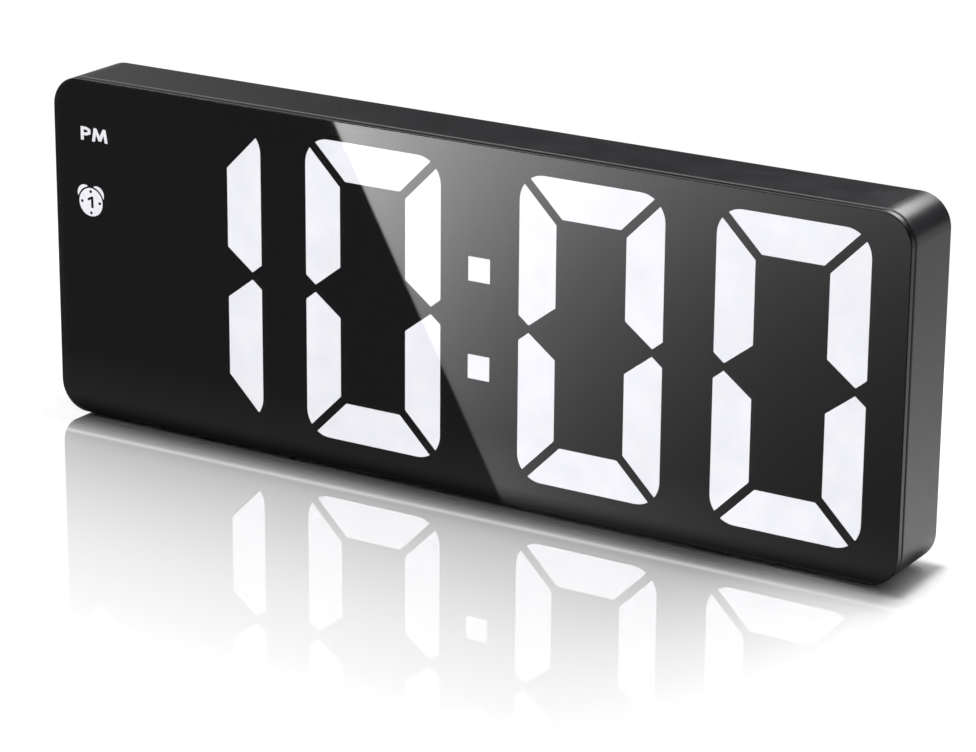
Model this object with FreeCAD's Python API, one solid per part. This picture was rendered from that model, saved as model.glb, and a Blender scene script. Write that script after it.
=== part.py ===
import FreeCAD
import Part
import math
import os

# Large-display digital alarm clock, in millimetres.
# X runs to the reader's right, Y runs from the face to the back, Z is up.
# The origin is the middle of the footprint, on the surface the clock stands on.
# Depths are measured from the front of the face plate towards the back.

# Digits
digit_width = 26.6
digit_height = 51.86
digit_gap = 9.15
colon_space = 15.01
upright_stroke = 6.85
level_stroke = 6.66
segment_gap = 1.55
outer_corner_radius = 4.5
middle_tip_inset = 1.88
middle_tip_height = 0.66
middle_side_height = 2.14
middle_inner_height = 4.42
colon_dot = 4.1
colon_shift = -0.07
upper_dot_height = 8.40
lower_dot_height = -8.26

# Face outline: the margins round the block of digits
left_margin = 16.38
right_margin = 6.90
top_margin = 3.68
bottom_margin = 4.74
corner_radius = 5.3

# Depth of each layer, front to back
panel_thickness = 1.1
plate_gap = 0.05
tape_thickness = 0.45
film_thickness = 0.2
window_depth = 1.0
light_box_depth = 5.15
board_thickness = 1.2
rear_space = 4.7
cover_thickness = 1.6

# Housing
wall = 1.8
cover_rim = 1.0
ledge_thickness = 1.2
side_ledge = 1.7
level_ledge = 1.0
window_corner_radius = 5.0
panel_edge_radius = 0.2
housing_front_edge = 0.35
housing_rear_edge = 0.25
tape_inset = 0.9
tape_window_clearance = 0.3
film_overlap = 0.25

# Screws and bosses
boss_inset = 4.3
boss_radius = 2.3
screw_radius = 0.9
screw_head_radius = 1.8
screw_head_height = 0.8
cover_screw_length = 6.0
board_screw_length = 4.5
board_screw_inset = 7.0
screw_slot_width = 0.5
screw_slot_depth = 0.4
post_radius = 1.5
post_inset_x = 19.5
post_inset_z = 6.5

# Clearances
window_clearance = 0.04
light_box_clearance = 0.2
seat_clearance = 0.05
boss_clearance = 0.3
cover_clearance = 0.1
screw_clearance = 0.03
screw_pass_clearance = 0.2
button_clearance = 0.15
door_clearance = 0.2
cell_clearance = 0.25
contact_gap = 0.02

# Signs at the upper left of the face
sign_left = 5.2
letter_height = 2.35
letter_base = 19.2
letter_gap = 0.3
letter_p_width = 2.1
letter_m_width = 3.35
letter_stroke = 0.6
alarm_inset = 7.0
alarm_height = 8.23
alarm_radius = 2.5
bell_radius = 1.5
bell_offset = 2.0
bell_gap = 0.35
bell_angle = 42.0
mark_radius = 0.3
mark_circle_radius = 1.9
sign_well_border = 0.5

# Light emitters on the board
led_length = 2.0
led_width = 1.25
led_height = 0.8

# Buttons on the rear
button_names = ("set", "alarm", "up", "down")
button_inset = 17.5
button_pitch = 13.5
control_height = 14.0
cap_radius = 3.5
cap_crown_radius = 0.4
cap_flange = 0.8
cap_flange_thickness = 0.6
cap_stub_radius = 1.5
cap_stub_length = 0.4
cap_below_rear = 0.05
press_travel = 0.5
plunger_radius = 1.7
plunger_seat = 0.45
plunger_clearance = 0.1
key_switch_side = 6.0
key_switch_height = 2.5
control_dish_depth = 0.5
control_dish_border = 2.0
control_dish_radius = 3.0

# Two-position slide switch
mode_pitch = 14.0
mode_body_length = 9.0
mode_body_width = 3.6
mode_body_height = 2.6
mode_tongue_length = 3.0
mode_tongue_width = 1.4
mode_tongue_depth = 1.15
mode_stem_length = 2.0
mode_knob_length = 2.4
mode_knob_width = 2.0
mode_knob_below_rear = 0.15
mode_travel = 2.0
mode_clearance = 0.12

# Memory cell, holder and door
cell_inset = 39.5
cell_height = 0.0
cell_radius = 10.0
cell_thickness = 3.2
cell_rise = 1.05
cell_can_step = 0.8
holder_wall = 1.35
holder_ledge = 1.25
holder_height = 3.9
contact_thickness = 0.25
side_contact_width = 5.0
spring_width = 3.0
spring_base = 5.0
spring_rise_length = 6.0
spring_top = 2.0
door_radius = 11.9
door_below_rear = 0.1
door_skirt = 1.0
lug_reach = 1.3
lug_thickness = 0.45
lug_span = 30.0
lug_notch_margin = 3.0
door_turn = 50.0
coin_slot_length = 14.0
coin_slot_width = 1.8
coin_slot_depth = 0.7

# Power socket, upright on the board, its mouth in the rear
socket_inset = 11.0
socket_drop = 16.0
socket_length = 8.94
socket_width = 3.2
socket_wall = 0.3
socket_below_rear = 0.1
socket_base = 1.5
tongue_length = 6.7
tongue_width = 0.7
tongue_below_mouth = 0.7
socket_dish_border = 1.7
socket_dish_depth = 0.4

# Buzzer and its sound holes
buzzer_inset = 47.5
buzzer_drop = 11.0
buzzer_radius = 6.0
buzzer_headroom = 0.3
buzzer_vent_radius = 1.0
buzzer_vent_depth = 1.0
sound_hole_radius = 0.7
sound_hole_pitch = 2.8

# Chips and small parts on the rear of the board
chip_standoff = 0.1
clock_chip_size = (12.6, 5.6, 1.5)
clock_chip_drop = 4.0
driver_chip_size = (10.0, 4.4, 1.4)
driver_chip_drop = 17.0
lead_pitch = 1.27
lead_width = 0.4
lead_reach = 1.1
lead_thickness = 0.2
clock_lead_count = 9
driver_lead_count = 7
crystal_length = 6.0
crystal_radius = 1.0
crystal_offset = 15.0
capacitor_inset = 15.5
capacitor_height = 6.0
capacitor_radius = 2.5
capacitor_can_height = 4.2
resistor_size = (1.6, 0.8, 0.5)
resistor_pitch = 4.0
resistor_columns = 6
resistor_rows = (3.5, 6.5)

# Feet
foot_length = 24.0
foot_width = 9.0
foot_thickness = 0.6
foot_inset = 26.5
foot_corner_radius = 1.5

# Sizes that follow from the ones above
face_width = left_margin + 4 * digit_width + 2 * digit_gap + colon_space + right_margin
face_height = bottom_margin + digit_height + top_margin
film_front = panel_thickness + plate_gap
light_box_front = film_front + film_thickness
board_front = light_box_front + light_box_depth
board_back = board_front + board_thickness
cover_front = board_back + rear_space
body_depth = cover_front + cover_thickness
ledge_front = film_front + tape_thickness
ledge_back = ledge_front + ledge_thickness
flange_front = ledge_back + seat_clearance
window_back = film_front + window_depth

half_width = face_width / 2
half_height = face_height / 2
face_centre_z = foot_thickness + half_height
digit_centre_z = foot_thickness + bottom_margin + digit_height / 2
front_y = -body_depth / 2
cavity_half_width = half_width - wall
cavity_half_height = half_height - wall
cavity_radius = corner_radius - wall
opening_half_width = cavity_half_width - side_ledge
opening_half_height = cavity_half_height - level_ledge

hour_tens_left = -half_width + left_margin
hour_units_left = hour_tens_left + digit_width + digit_gap
minute_tens_left = hour_units_left + digit_width + colon_space
minute_units_left = minute_tens_left + digit_width + digit_gap
colon_x = minute_tens_left - colon_space / 2 + colon_shift

mode_x = half_width - button_inset - 3 * button_pitch - mode_pitch
cell_x = -half_width + cell_inset
socket_x = -half_width + socket_inset
buzzer_x = half_width - buzzer_inset
control_z = face_centre_z + control_height
cell_z = face_centre_z + cell_height
socket_z = face_centre_z - socket_drop
buzzer_z = face_centre_z - buzzer_drop

digit_places = (
    ("hour_tens", hour_tens_left, "bc"),
    ("hour_units", hour_units_left, "abcdef"),
    ("minute_tens", minute_tens_left, "abcdef"),
    ("minute_units", minute_units_left, "abcdef"),
)
all_segments = "abcdefg"
corner_signs = ((-1, -1), (-1, 1), (1, -1), (1, 1))


# Basic solids, placed by x, height z and depth behind the face

def at(x, depth, z):
    """The point at x and z, this far behind the front of the face."""
    return FreeCAD.Vector(x, front_y + depth, z)


def block(x0, x1, depth0, depth1, z0, z1):
    """A box between two corners."""
    return Part.makeBox(x1 - x0, depth1 - depth0, z1 - z0, at(x0, depth0, z0))


def rod(x, z, radius, depth0, depth1):
    """A round solid along the depth."""
    back = FreeCAD.Vector(0, 1, 0)
    return Part.makeCylinder(radius, depth1 - depth0, at(x, depth0, z), back)


def extrude(wire, depth0, depth1):
    """A flat closed wire carried backwards into a solid."""
    return Part.Face(wire).extrude(FreeCAD.Vector(0, depth1 - depth0, 0))


def prism(points, depth0, depth1):
    """A polygon of x, z points carried from one depth to another."""
    corners = [at(x, depth0, z) for x, z in points]
    return extrude(Part.makePolygon(corners + corners[:1]), depth0, depth1)


def rounded_block(x, z, half_x, half_z, radius, depth0, depth1):
    """A block centred on x, z whose four edges along the depth are rounded."""
    edges = []
    turns = ((1, 1, 0), (-1, 1, 90), (-1, -1, 180), (1, -1, 270))
    arcs = []
    for sign_x, sign_z, start in turns:
        centre_x = x + sign_x * (half_x - radius)
        centre_z = z + sign_z * (half_z - radius)
        marks = []
        for angle in (start, start + 45, start + 90):
            turn = math.radians(angle)
            mark_x = centre_x + radius * math.cos(turn)
            mark_z = centre_z + radius * math.sin(turn)
            marks.append(at(mark_x, depth0, mark_z))
        arcs.append(marks)
    for index, marks in enumerate(arcs):
        edges.append(Part.Arc(*marks).toShape())
        following = arcs[(index + 1) % len(arcs)]
        if marks[2].distanceToPoint(following[0]) > 1e-6:
            edges.append(Part.LineSegment(marks[2], following[0]).toShape())
    return extrude(Part.Wire(edges), depth0, depth1)


def face_block(inset, depth0, depth1):
    """The outline of the face, drawn in by an inset, as a solid."""
    half_x = half_width - inset
    half_z = half_height - inset
    return rounded_block(0, face_centre_z, half_x, half_z, corner_radius - inset, depth0, depth1)


def slot_block(x, z, length, width, depth0, depth1):
    """A block with half-round ends, long in x."""
    return rounded_block(x, z, length / 2, width / 2, width / 2, depth0, depth1)


def edges_at_depth(shape, depth):
    """The edges of a shape that lie wholly at one depth."""
    y = front_y + depth
    found = []
    for edge in shape.Edges:
        if abs(edge.BoundBox.YMin - y) < 1e-6 and abs(edge.BoundBox.YMax - y) < 1e-6:
            found.append(edge)
    return found


def group(shapes):
    """Separate solids kept together as one part."""
    return Part.makeCompound(shapes)


def without(shape, cutters):
    """A shape with every cutter taken away."""
    for cutter in cutters:
        shape = shape.cut(cutter)
    return shape


def grown(points, amount):
    """A polygon with each side moved outwards by an amount, its corners kept sharp."""
    area = 0
    for (x0, z0), (x1, z1) in zip(points, points[1:] + points[:1]):
        area += x0 * z1 - x1 * z0
    outwards = 1 if area > 0 else -1
    lines = []
    for (x0, z0), (x1, z1) in zip(points, points[1:] + points[:1]):
        length = math.hypot(x1 - x0, z1 - z0)
        normal_x = outwards * (z1 - z0) / length
        normal_z = -outwards * (x1 - x0) / length
        lines.append((normal_x, normal_z, normal_x * x0 + normal_z * z0 + amount))
    moved = []
    for (a0, b0, c0), (a1, b1, c1) in zip(lines[-1:] + lines[:-1], lines):
        cross = a0 * b1 - a1 * b0
        moved.append(((c0 * b1 - c1 * b0) / cross, (a0 * c1 - a1 * c0) / cross))
    return moved


# Digits: outlines of the seven segments, from the digit's left edge and middle height

def segment_outline(name):
    """The sharp-cornered outline of one segment of a digit."""
    half = digit_height / 2
    inner = half - level_stroke
    mitre = upright_stroke + inner
    shift = segment_gap / math.sqrt(2)
    slope = (middle_inner_height - middle_tip_height) / (upright_stroke - middle_tip_inset)
    if name in "ad":
        start = mitre + shift
        points = [
            (start - half, half),
            (digit_width - start + half, half),
            (digit_width - start + inner, inner),
            (start - inner, inner),
        ]
    elif name == "g":
        drop = middle_tip_height - segment_gap * math.hypot(1, slope) - slope * middle_tip_inset
        tip = -drop / slope
        shoulder = (level_stroke / 2 - drop) / slope
        points = [
            (tip, 0),
            (shoulder, level_stroke / 2),
            (digit_width - shoulder, level_stroke / 2),
            (digit_width - tip, 0),
            (digit_width - shoulder, -level_stroke / 2),
            (shoulder, -level_stroke / 2),
        ]
    else:
        stop = mitre - shift
        points = [
            (0, stop),
            (upright_stroke, stop - upright_stroke),
            (upright_stroke, middle_inner_height),
            (middle_tip_inset, middle_tip_height),
            (0, middle_side_height),
        ]
    if name in "bc":
        points = [(digit_width - x, z) for x, z in points]
    if name in "cde":
        points = [(x, -z) for x, z in points]
    return points


def segment_solid(left, name, growth, depth0, depth1):
    """One segment at its place, grown by a clearance, with the digit's corners rounded off."""
    points = grown(segment_outline(name), growth)
    placed = [(left + x, digit_centre_z + z) for x, z in points]
    rounded = rounded_block(
        left + digit_width / 2,
        digit_centre_z,
        digit_width / 2 + growth,
        digit_height / 2 + growth,
        outer_corner_radius + growth,
        depth0,
        depth1,
    )
    solid = prism(placed, depth0, depth1).common(rounded)
    return solid.Solids[0]


def dot_solid(height, growth, depth0, depth1):
    """One square dot of the colon."""
    reach = colon_dot / 2 + growth
    z = digit_centre_z + height
    return block(colon_x - reach, colon_x + reach, depth0, depth1, z - reach, z + reach)


# Signs: the letters P and M, and a small alarm clock with a plain 1 on it

def letter_p_outline():
    """Outer outline of the letter P."""
    bowl = 0.36 * letter_height
    bend = 0.15 * letter_height
    shoulder = 0.57 * letter_p_width
    return [
        (0, 0),
        (letter_stroke, 0),
        (letter_stroke, bowl),
        (shoulder, bowl),
        (letter_p_width, bowl + bend),
        (letter_p_width, letter_height - bend),
        (shoulder, letter_height),
        (0, letter_height),
    ]


def letter_p_eye():
    """The dark eye inside the letter P."""
    level = 0.8 * letter_stroke
    low = 0.36 * letter_height + level
    high = letter_height - level
    shoulder = 0.52 * letter_p_width
    side = letter_p_width - letter_stroke
    bend = 0.06 * letter_height
    return [
        (letter_stroke, low),
        (shoulder, low),
        (side, low + bend),
        (side, high - bend),
        (shoulder, high),
        (letter_stroke, high),
    ]


def letter_m_outline():
    """Outline of the letter M, with leaning legs."""
    lean = 0.12 * letter_m_width
    middle = letter_m_width / 2
    top = lean + letter_stroke
    crotch = 0.45 * letter_height
    valley = 0.08 * letter_height
    shoulder = 0.60 * letter_height
    left = [
        (0, 0),
        (lean, letter_height),
        (top, letter_height),
        (middle, crotch),
    ]
    right = [(letter_m_width - x, z) for x, z in reversed(left[:3])]
    foot = letter_m_width - letter_stroke
    inner_lean = 0.08 * letter_m_width
    under_right = [
        (foot, 0),
        (foot - inner_lean, shoulder),
        (middle + letter_stroke / 2, valley),
    ]
    under_left = [(letter_m_width - x, z) for x, z in reversed(under_right)]
    return left + right + under_right + under_left


def numeral_one_outline():
    """The plain 1 in the middle of the alarm sign, about its centre."""
    half = 0.42 * alarm_radius
    stem = 0.22 * alarm_radius
    flag_reach = 0.34 * alarm_radius
    flag_top = 0.55 * half
    flag_foot = 0.15 * half
    flag_root = 0.45 * half
    return [
        (0, -half),
        (stem, -half),
        (stem, half),
        (0, half),
        (-flag_reach, flag_top),
        (-stem, flag_foot),
        (0, flag_root),
    ]


def placed_letters():
    """The outlines of P, its eye and M at their places on the face."""
    left = -half_width + sign_left
    base = face_centre_z + letter_base
    m_left = left + letter_p_width + letter_gap
    letter_p = [(left + x, base + z) for x, z in letter_p_outline()]
    eye = [(left + x, base + z) for x, z in letter_p_eye()]
    letter_m = [(m_left + x, base + z) for x, z in letter_m_outline()]
    return letter_p, eye, letter_m


def alarm_centre():
    """Middle of the alarm sign on the face."""
    return -half_width + alarm_inset, face_centre_z + alarm_height


def bell_solid(side, growth, depth0, depth1):
    """One bell of the alarm sign: a cap that follows the clock's round body."""
    x, z = alarm_centre()
    lean = math.radians(bell_angle)
    bell_x = x + side * bell_offset * math.sin(lean)
    bell_z = z + bell_offset * math.cos(lean)
    bell = rod(bell_x, bell_z, bell_radius + growth, depth0, depth1)
    return bell.cut(rod(x, z, alarm_radius + bell_gap - growth, depth0, depth1)).Solids[0]


def alarm_marks(shrink, depth0, depth1):
    """The four dark marks and the dark 1 of the alarm sign."""
    x, z = alarm_centre()
    marks = []
    for quarter in range(4):
        turn = math.radians(90 * quarter)
        mark_x = x + mark_circle_radius * math.cos(turn)
        mark_z = z + mark_circle_radius * math.sin(turn)
        marks.append(rod(mark_x, mark_z, mark_radius - shrink, depth0, depth1))
    one = [(x + dx, z + dz) for dx, dz in grown(numeral_one_outline(), -shrink)]
    marks.append(prism(one, depth0, depth1))
    return marks


def sign_windows(growth, depth0, depth1):
    """The letters, the round sign and its bells as solids, grown by a clearance."""
    letter_p, _, letter_m = placed_letters()
    x, z = alarm_centre()
    return [
        prism(grown(letter_p, growth), depth0, depth1),
        prism(grown(letter_m, growth), depth0, depth1),
        rod(x, z, alarm_radius + growth, depth0, depth1),
        bell_solid(-1, growth, depth0, depth1),
        bell_solid(1, growth, depth0, depth1),
    ]


# Display: windows, film, light box and emitters

def display_windows(growth, depth0, depth1):
    """Every digit segment and colon dot as solids, grown by a clearance."""
    solids = []
    for _, left, _ in digit_places:
        for name in all_segments:
            solids.append(segment_solid(left, name, growth, depth0, depth1))
    for height in (upper_dot_height, lower_dot_height):
        solids.append(dot_solid(height, growth, depth0, depth1))
    return solids


def make_digit_windows(parts):
    """Clear windows of the lit segments, one part per digit, and of the unlit ones."""
    unlit = []
    for place, left, lit in digit_places:
        shown = [segment_solid(left, name, 0, film_front, window_back) for name in lit]
        parts[place + "_segments"] = group(shown)
        for name in all_segments:
            if name not in lit:
                unlit.append(segment_solid(left, name, 0, film_front, window_back))
    parts["unlit_segments"] = group(unlit)
    dots = []
    for height in (upper_dot_height, lower_dot_height):
        dots.append(dot_solid(height, 0, film_front, window_back))
    parts["colon_windows"] = group(dots)


def make_signs(parts):
    """The lit PM letters and alarm sign, with shallow pockets for the dark marks."""
    letter_p, eye, letter_m = placed_letters()
    p_window = prism(letter_p, film_front, window_back)
    p_window = p_window.cut(prism(eye, film_front, light_box_front))
    parts["pm_sign"] = group([p_window, prism(letter_m, film_front, window_back)])
    x, z = alarm_centre()
    body = rod(x, z, alarm_radius, film_front, window_back)
    body = without(body, alarm_marks(0, film_front, light_box_front))
    bells = [bell_solid(side, 0, film_front, window_back) for side in (-1, 1)]
    parts["alarm_sign"] = group([body] + bells)


def opening_block(margin, depth0, depth1):
    """A block in the shape of the housing's front opening, made larger by a margin."""
    return rounded_block(
        0,
        face_centre_z,
        opening_half_width + margin,
        opening_half_height + margin,
        window_corner_radius + margin,
        depth0,
        depth1,
    )


def make_mask_film():
    """Black film with every window cut out, and the small dark marks left on the signs."""
    film = opening_block(film_overlap, film_front, light_box_front)
    cutters = display_windows(window_clearance, film_front, light_box_front)
    cutters += sign_windows(window_clearance, film_front, light_box_front)
    _, eye, _ = placed_letters()
    islands = [prism(grown(eye, -window_clearance), film_front, light_box_front)]
    islands += alarm_marks(window_clearance, film_front, light_box_front)
    return group([without(film, cutters)] + islands)


def boss_notches(depth0, depth1):
    """Room for the four screw bosses, with a clearance round each."""
    notches = []
    for sign_x, sign_z in corner_signs:
        x, z = boss_place(sign_x, sign_z)
        notches.append(rod(x, z, boss_radius + boss_clearance, depth0, depth1))
    return notches


def inner_block(depth0, depth1):
    """A plate that fills the housing, with corners cut away for the screw bosses."""
    plate = rounded_block(
        0,
        face_centre_z,
        cavity_half_width - light_box_clearance,
        cavity_half_height - light_box_clearance,
        cavity_radius - light_box_clearance,
        depth0,
        depth1,
    )
    return without(plate, boss_notches(depth0, depth1))


def board_screw_places():
    """Screws that join the board to the light box, in the gaps between digits."""
    places = []
    for left in (hour_units_left, minute_units_left):
        for sign in (-1, 1):
            z = face_centre_z + sign * (half_height - board_screw_inset)
            places.append((left - digit_gap / 2, z))
    return places


def make_light_box():
    """Moulded block with a straight well behind every window."""
    body = opening_block(-light_box_clearance, light_box_front, flange_front)
    body = body.fuse(inner_block(flange_front, board_front))
    wells = display_windows(window_clearance, light_box_front, board_front)
    wells += boss_notches(ledge_back - seat_clearance, flange_front)
    wells += sign_windows(window_clearance, light_box_front, window_back)
    letter_width = letter_p_width + letter_gap + letter_m_width
    sign_x = -half_width + sign_left
    sign_z = face_centre_z + letter_base
    wells.append(
        block(
            sign_x - sign_well_border,
            sign_x + letter_width + sign_well_border,
            window_back,
            board_front,
            sign_z - sign_well_border,
            sign_z + letter_height + sign_well_border,
        )
    )
    x, z = alarm_centre()
    wells.append(rod(x, z, alarm_radius + bell_radius / 2 + sign_well_border, window_back, board_front))
    screw_end = board_back - board_screw_length - seat_clearance
    for screw_x, screw_z in board_screw_places():
        wells.append(rod(screw_x, screw_z, screw_radius + screw_clearance, screw_end, board_front))
    return without(body, wells)


def led_places():
    """The middle of every segment, dot and sign, where an emitter sits."""
    places = []
    half = digit_height / 2
    level_z = half - level_stroke / 2
    upright_z = (half - level_stroke + middle_inner_height) / 2
    near = upright_stroke / 2
    far = digit_width - near
    centre = digit_width / 2
    spots = (
        (centre, level_z),
        (far, upright_z),
        (far, -upright_z),
        (centre, -level_z),
        (near, -upright_z),
        (near, upright_z),
        (centre, 0),
    )
    for _, left, _ in digit_places:
        for x, z in spots:
            places.append((left + x, digit_centre_z + z))
    for height in (upper_dot_height, lower_dot_height):
        places.append((colon_x, digit_centre_z + height))
    letter_width = letter_p_width + letter_gap + letter_m_width
    letters_x = -half_width + sign_left + letter_width / 2
    places.append((letters_x, face_centre_z + letter_base + letter_height / 2))
    places.append(alarm_centre())
    return places


def make_segment_leds():
    """One chip emitter in each well, on the front of the board."""
    half_length = led_length / 2
    half_led = led_width / 2
    led_front = board_front - led_height
    chips = []
    for x, z in led_places():
        x0 = x - half_length
        x1 = x + half_length
        chips.append(block(x0, x1, led_front, board_front, z - half_led, z + half_led))
    return group(chips)


# Case: face plate, tape, housing, rear cover, screws and feet

def boss_place(sign_x, sign_z):
    """Axis of a corner boss."""
    return sign_x * (half_width - boss_inset), face_centre_z + sign_z * (half_height - boss_inset)


def make_front_panel():
    """Smoked plate over the whole face, its front edge eased."""
    plate = face_block(0, 0, panel_thickness)
    return plate.makeFillet(panel_edge_radius, edges_at_depth(plate, 0))


def make_panel_tape():
    """Adhesive frame between the plate and the housing's ledge, set in from the outline."""
    frame = face_block(tape_inset, film_front, ledge_front)
    return frame.cut(opening_block(tape_window_clearance, film_front, ledge_front))


def make_housing():
    """Ring with a front ledge, four corner bosses and a rebate for the rear cover."""
    body = face_block(0, ledge_front, body_depth)
    body = body.makeFillet(housing_front_edge, edges_at_depth(body, ledge_front))
    body = body.makeFillet(housing_rear_edge, edges_at_depth(body, body_depth))
    opening = opening_block(0, ledge_front, ledge_back)
    body = without(body, [opening, face_block(wall, ledge_back, body_depth)])
    body = body.cut(face_block(cover_rim, cover_front, body_depth))
    for sign_x, sign_z in corner_signs:
        x, z = boss_place(sign_x, sign_z)
        body = body.fuse(rod(x, z, boss_radius, ledge_back, cover_front))
    for sign_x, sign_z in corner_signs:
        x, z = boss_place(sign_x, sign_z)
        pilot_end = body_depth - cover_screw_length - screw_head_height - seat_clearance
        body = body.cut(rod(x, z, screw_radius + screw_clearance, pilot_end, cover_front))
    return body.removeSplitter()


def button_x(index):
    """Position of a rear button, counted from the side of the case."""
    return half_width - button_inset - index * button_pitch


def sound_hole_places():
    """A middle hole and six round it."""
    places = [(buzzer_x, buzzer_z)]
    for sixth in range(6):
        turn = math.radians(60 * sixth)
        x = buzzer_x + sound_hole_pitch * math.cos(turn)
        places.append((x, buzzer_z + sound_hole_pitch * math.sin(turn)))
    return places


def sector(x, z, radius, middle_angle, span, depth0, depth1):
    """A wedge of a disc. The angle is measured from up towards positive x."""
    start = math.radians(middle_angle - span / 2)
    middle = math.radians(middle_angle)
    stop = math.radians(middle_angle + span / 2)
    centre = at(x, depth0, z)
    rim = []
    for turn in (start, middle, stop):
        rim.append(at(x + radius * math.sin(turn), depth0, z + radius * math.cos(turn)))
    edges = [
        Part.LineSegment(centre, rim[0]).toShape(),
        Part.Arc(*rim).toShape(),
        Part.LineSegment(rim[2], centre).toShape(),
    ]
    return extrude(Part.Wire(edges), depth0, depth1)


def make_rear_cover():
    """Plate with openings for the controls, cell door, socket, sound and screws, and board posts."""
    cover = face_block(cover_rim + cover_clearance, cover_front, body_depth)
    cutters = []
    pocket = body_depth - screw_head_height - seat_clearance
    for sign_x, sign_z in corner_signs:
        x, z = boss_place(sign_x, sign_z)
        cutters.append(rod(x, z, screw_radius + screw_pass_clearance, cover_front, body_depth))
        cutters.append(rod(x, z, screw_head_radius + screw_pass_clearance, pocket, body_depth))
    dish_low = mode_x - mode_body_length / 2 - control_dish_border
    dish_high = button_x(0) + cap_radius + control_dish_border
    cutters.append(
        rounded_block(
            (dish_low + dish_high) / 2,
            control_z,
            (dish_high - dish_low) / 2,
            cap_radius + control_dish_border,
            control_dish_radius,
            body_depth - control_dish_depth,
            body_depth,
        )
    )
    hole_radius = cap_radius + button_clearance
    for index in range(len(button_names)):
        cutters.append(rod(button_x(index), control_z, hole_radius, cover_front, body_depth))
    slot_half = (mode_knob_length + mode_travel) / 2 + button_clearance
    slot_x = mode_x + mode_travel / 2
    knob_half = mode_knob_width / 2 + button_clearance
    cutters.append(
        block(
            slot_x - slot_half,
            slot_x + slot_half,
            cover_front,
            body_depth,
            control_z - knob_half,
            control_z + knob_half,
        )
    )
    cutters.append(rod(cell_x, cell_z, door_radius + door_clearance, cover_front, body_depth))
    reach = door_radius + lug_reach + door_clearance
    notch_span = lug_span + 2 * lug_notch_margin
    for side in (0, 180):
        angle = door_turn + side
        cutters.append(sector(cell_x, cell_z, reach, angle, notch_span, cover_front, body_depth))
    cutters.append(
        slot_block(
            socket_x,
            socket_z,
            socket_length + 2 * door_clearance,
            socket_width + 2 * door_clearance,
            cover_front,
            body_depth,
        )
    )
    cutters.append(
        slot_block(
            socket_x,
            socket_z,
            socket_length + 2 * socket_dish_border,
            socket_width + 2 * socket_dish_border,
            body_depth - socket_dish_depth,
            body_depth,
        )
    )
    for x, z in sound_hole_places():
        cutters.append(rod(x, z, sound_hole_radius, cover_front, body_depth))
    cover = without(cover, cutters)
    for sign_x, sign_z in corner_signs:
        post_x = sign_x * (half_width - post_inset_x)
        post_z = face_centre_z + sign_z * (half_height - post_inset_z)
        cover = cover.fuse(rod(post_x, post_z, post_radius, board_back + seat_clearance, cover_front))
    return cover.removeSplitter()


def screw(x, z, head_back, length):
    """A slotted cylinder-head screw pointing to the front; its thread is left plain."""
    head_front = head_back - screw_head_height
    body = rod(x, z, screw_head_radius, head_front, head_back)
    body = body.fuse(rod(x, z, screw_radius, head_front - length, head_front))
    slot_floor = head_back - screw_slot_depth
    half_slot = screw_slot_width / 2
    slots = []
    for half_x, half_z in ((screw_head_radius, half_slot), (half_slot, screw_head_radius)):
        slots.append(block(x - half_x, x + half_x, slot_floor, head_back, z - half_z, z + half_z))
    return without(body, slots)


def make_cover_screws():
    """Four screws through the rear cover into the corner bosses."""
    screws = []
    for sign_x, sign_z in corner_signs:
        x, z = boss_place(sign_x, sign_z)
        screws.append(screw(x, z, body_depth - seat_clearance, cover_screw_length - seat_clearance))
    return group(screws)


def make_board_screws():
    """Four screws through the board into the light box."""
    screws = []
    for x, z in board_screw_places():
        screws.append(screw(x, z, board_back + screw_head_height, board_screw_length))
    return group(screws)


def make_feet():
    """Two thin rubber strips under the base."""
    feet = []
    centre_depth = (ledge_front + body_depth) / 2
    for sign in (-1, 1):
        x = sign * (half_width - foot_inset)
        strip = block(
            x - foot_length / 2,
            x + foot_length / 2,
            centre_depth - foot_width / 2,
            centre_depth + foot_width / 2,
            0,
            foot_thickness,
        )
        upright = [edge for edge in strip.Edges if edge.BoundBox.ZLength > foot_thickness / 2]
        feet.append(strip.makeFillet(foot_corner_radius, upright))
    return group(feet)


# Board and what is soldered to it

def make_main_board():
    """Circuit board behind the light box, with holes for its screws."""
    board = inner_block(board_front, board_back)
    holes = []
    for x, z in board_screw_places():
        holes.append(rod(x, z, screw_radius + screw_pass_clearance, board_front, board_back))
    return without(board, holes)


def chip_body(x, z, size):
    """The black body of a chip, a little above the board."""
    length, width, height = size
    front = board_back + chip_standoff
    return block(x - length / 2, x + length / 2, front, front + height, z - width / 2, z + width / 2)


def chip_lead_row(x, z, size, count):
    """Bent leads along both long sides of a chip, each with its foot on the board."""
    _, width, height = size
    shoulder = board_back + chip_standoff + height / 2
    leads = []
    for side in (-1, 1):
        edge = z + side * width / 2
        bend = edge + side * lead_reach / 2
        tip = edge + side * lead_reach
        profile = [
            (edge, shoulder),
            (bend + side * lead_thickness / 2, shoulder),
            (bend + side * lead_thickness / 2, board_back + lead_thickness),
            (tip, board_back + lead_thickness),
            (tip, board_back),
            (bend - side * lead_thickness / 2, board_back),
            (bend - side * lead_thickness / 2, shoulder - lead_thickness),
            (edge, shoulder - lead_thickness),
        ]
        for index in range(count):
            lead_x = x + (index - (count - 1) / 2) * lead_pitch - lead_width / 2
            corners = [at(lead_x, depth, height_z) for height_z, depth in profile]
            face = Part.Face(Part.makePolygon(corners + corners[:1]))
            leads.append(face.extrude(FreeCAD.Vector(lead_width, 0, 0)))
    return leads


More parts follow.
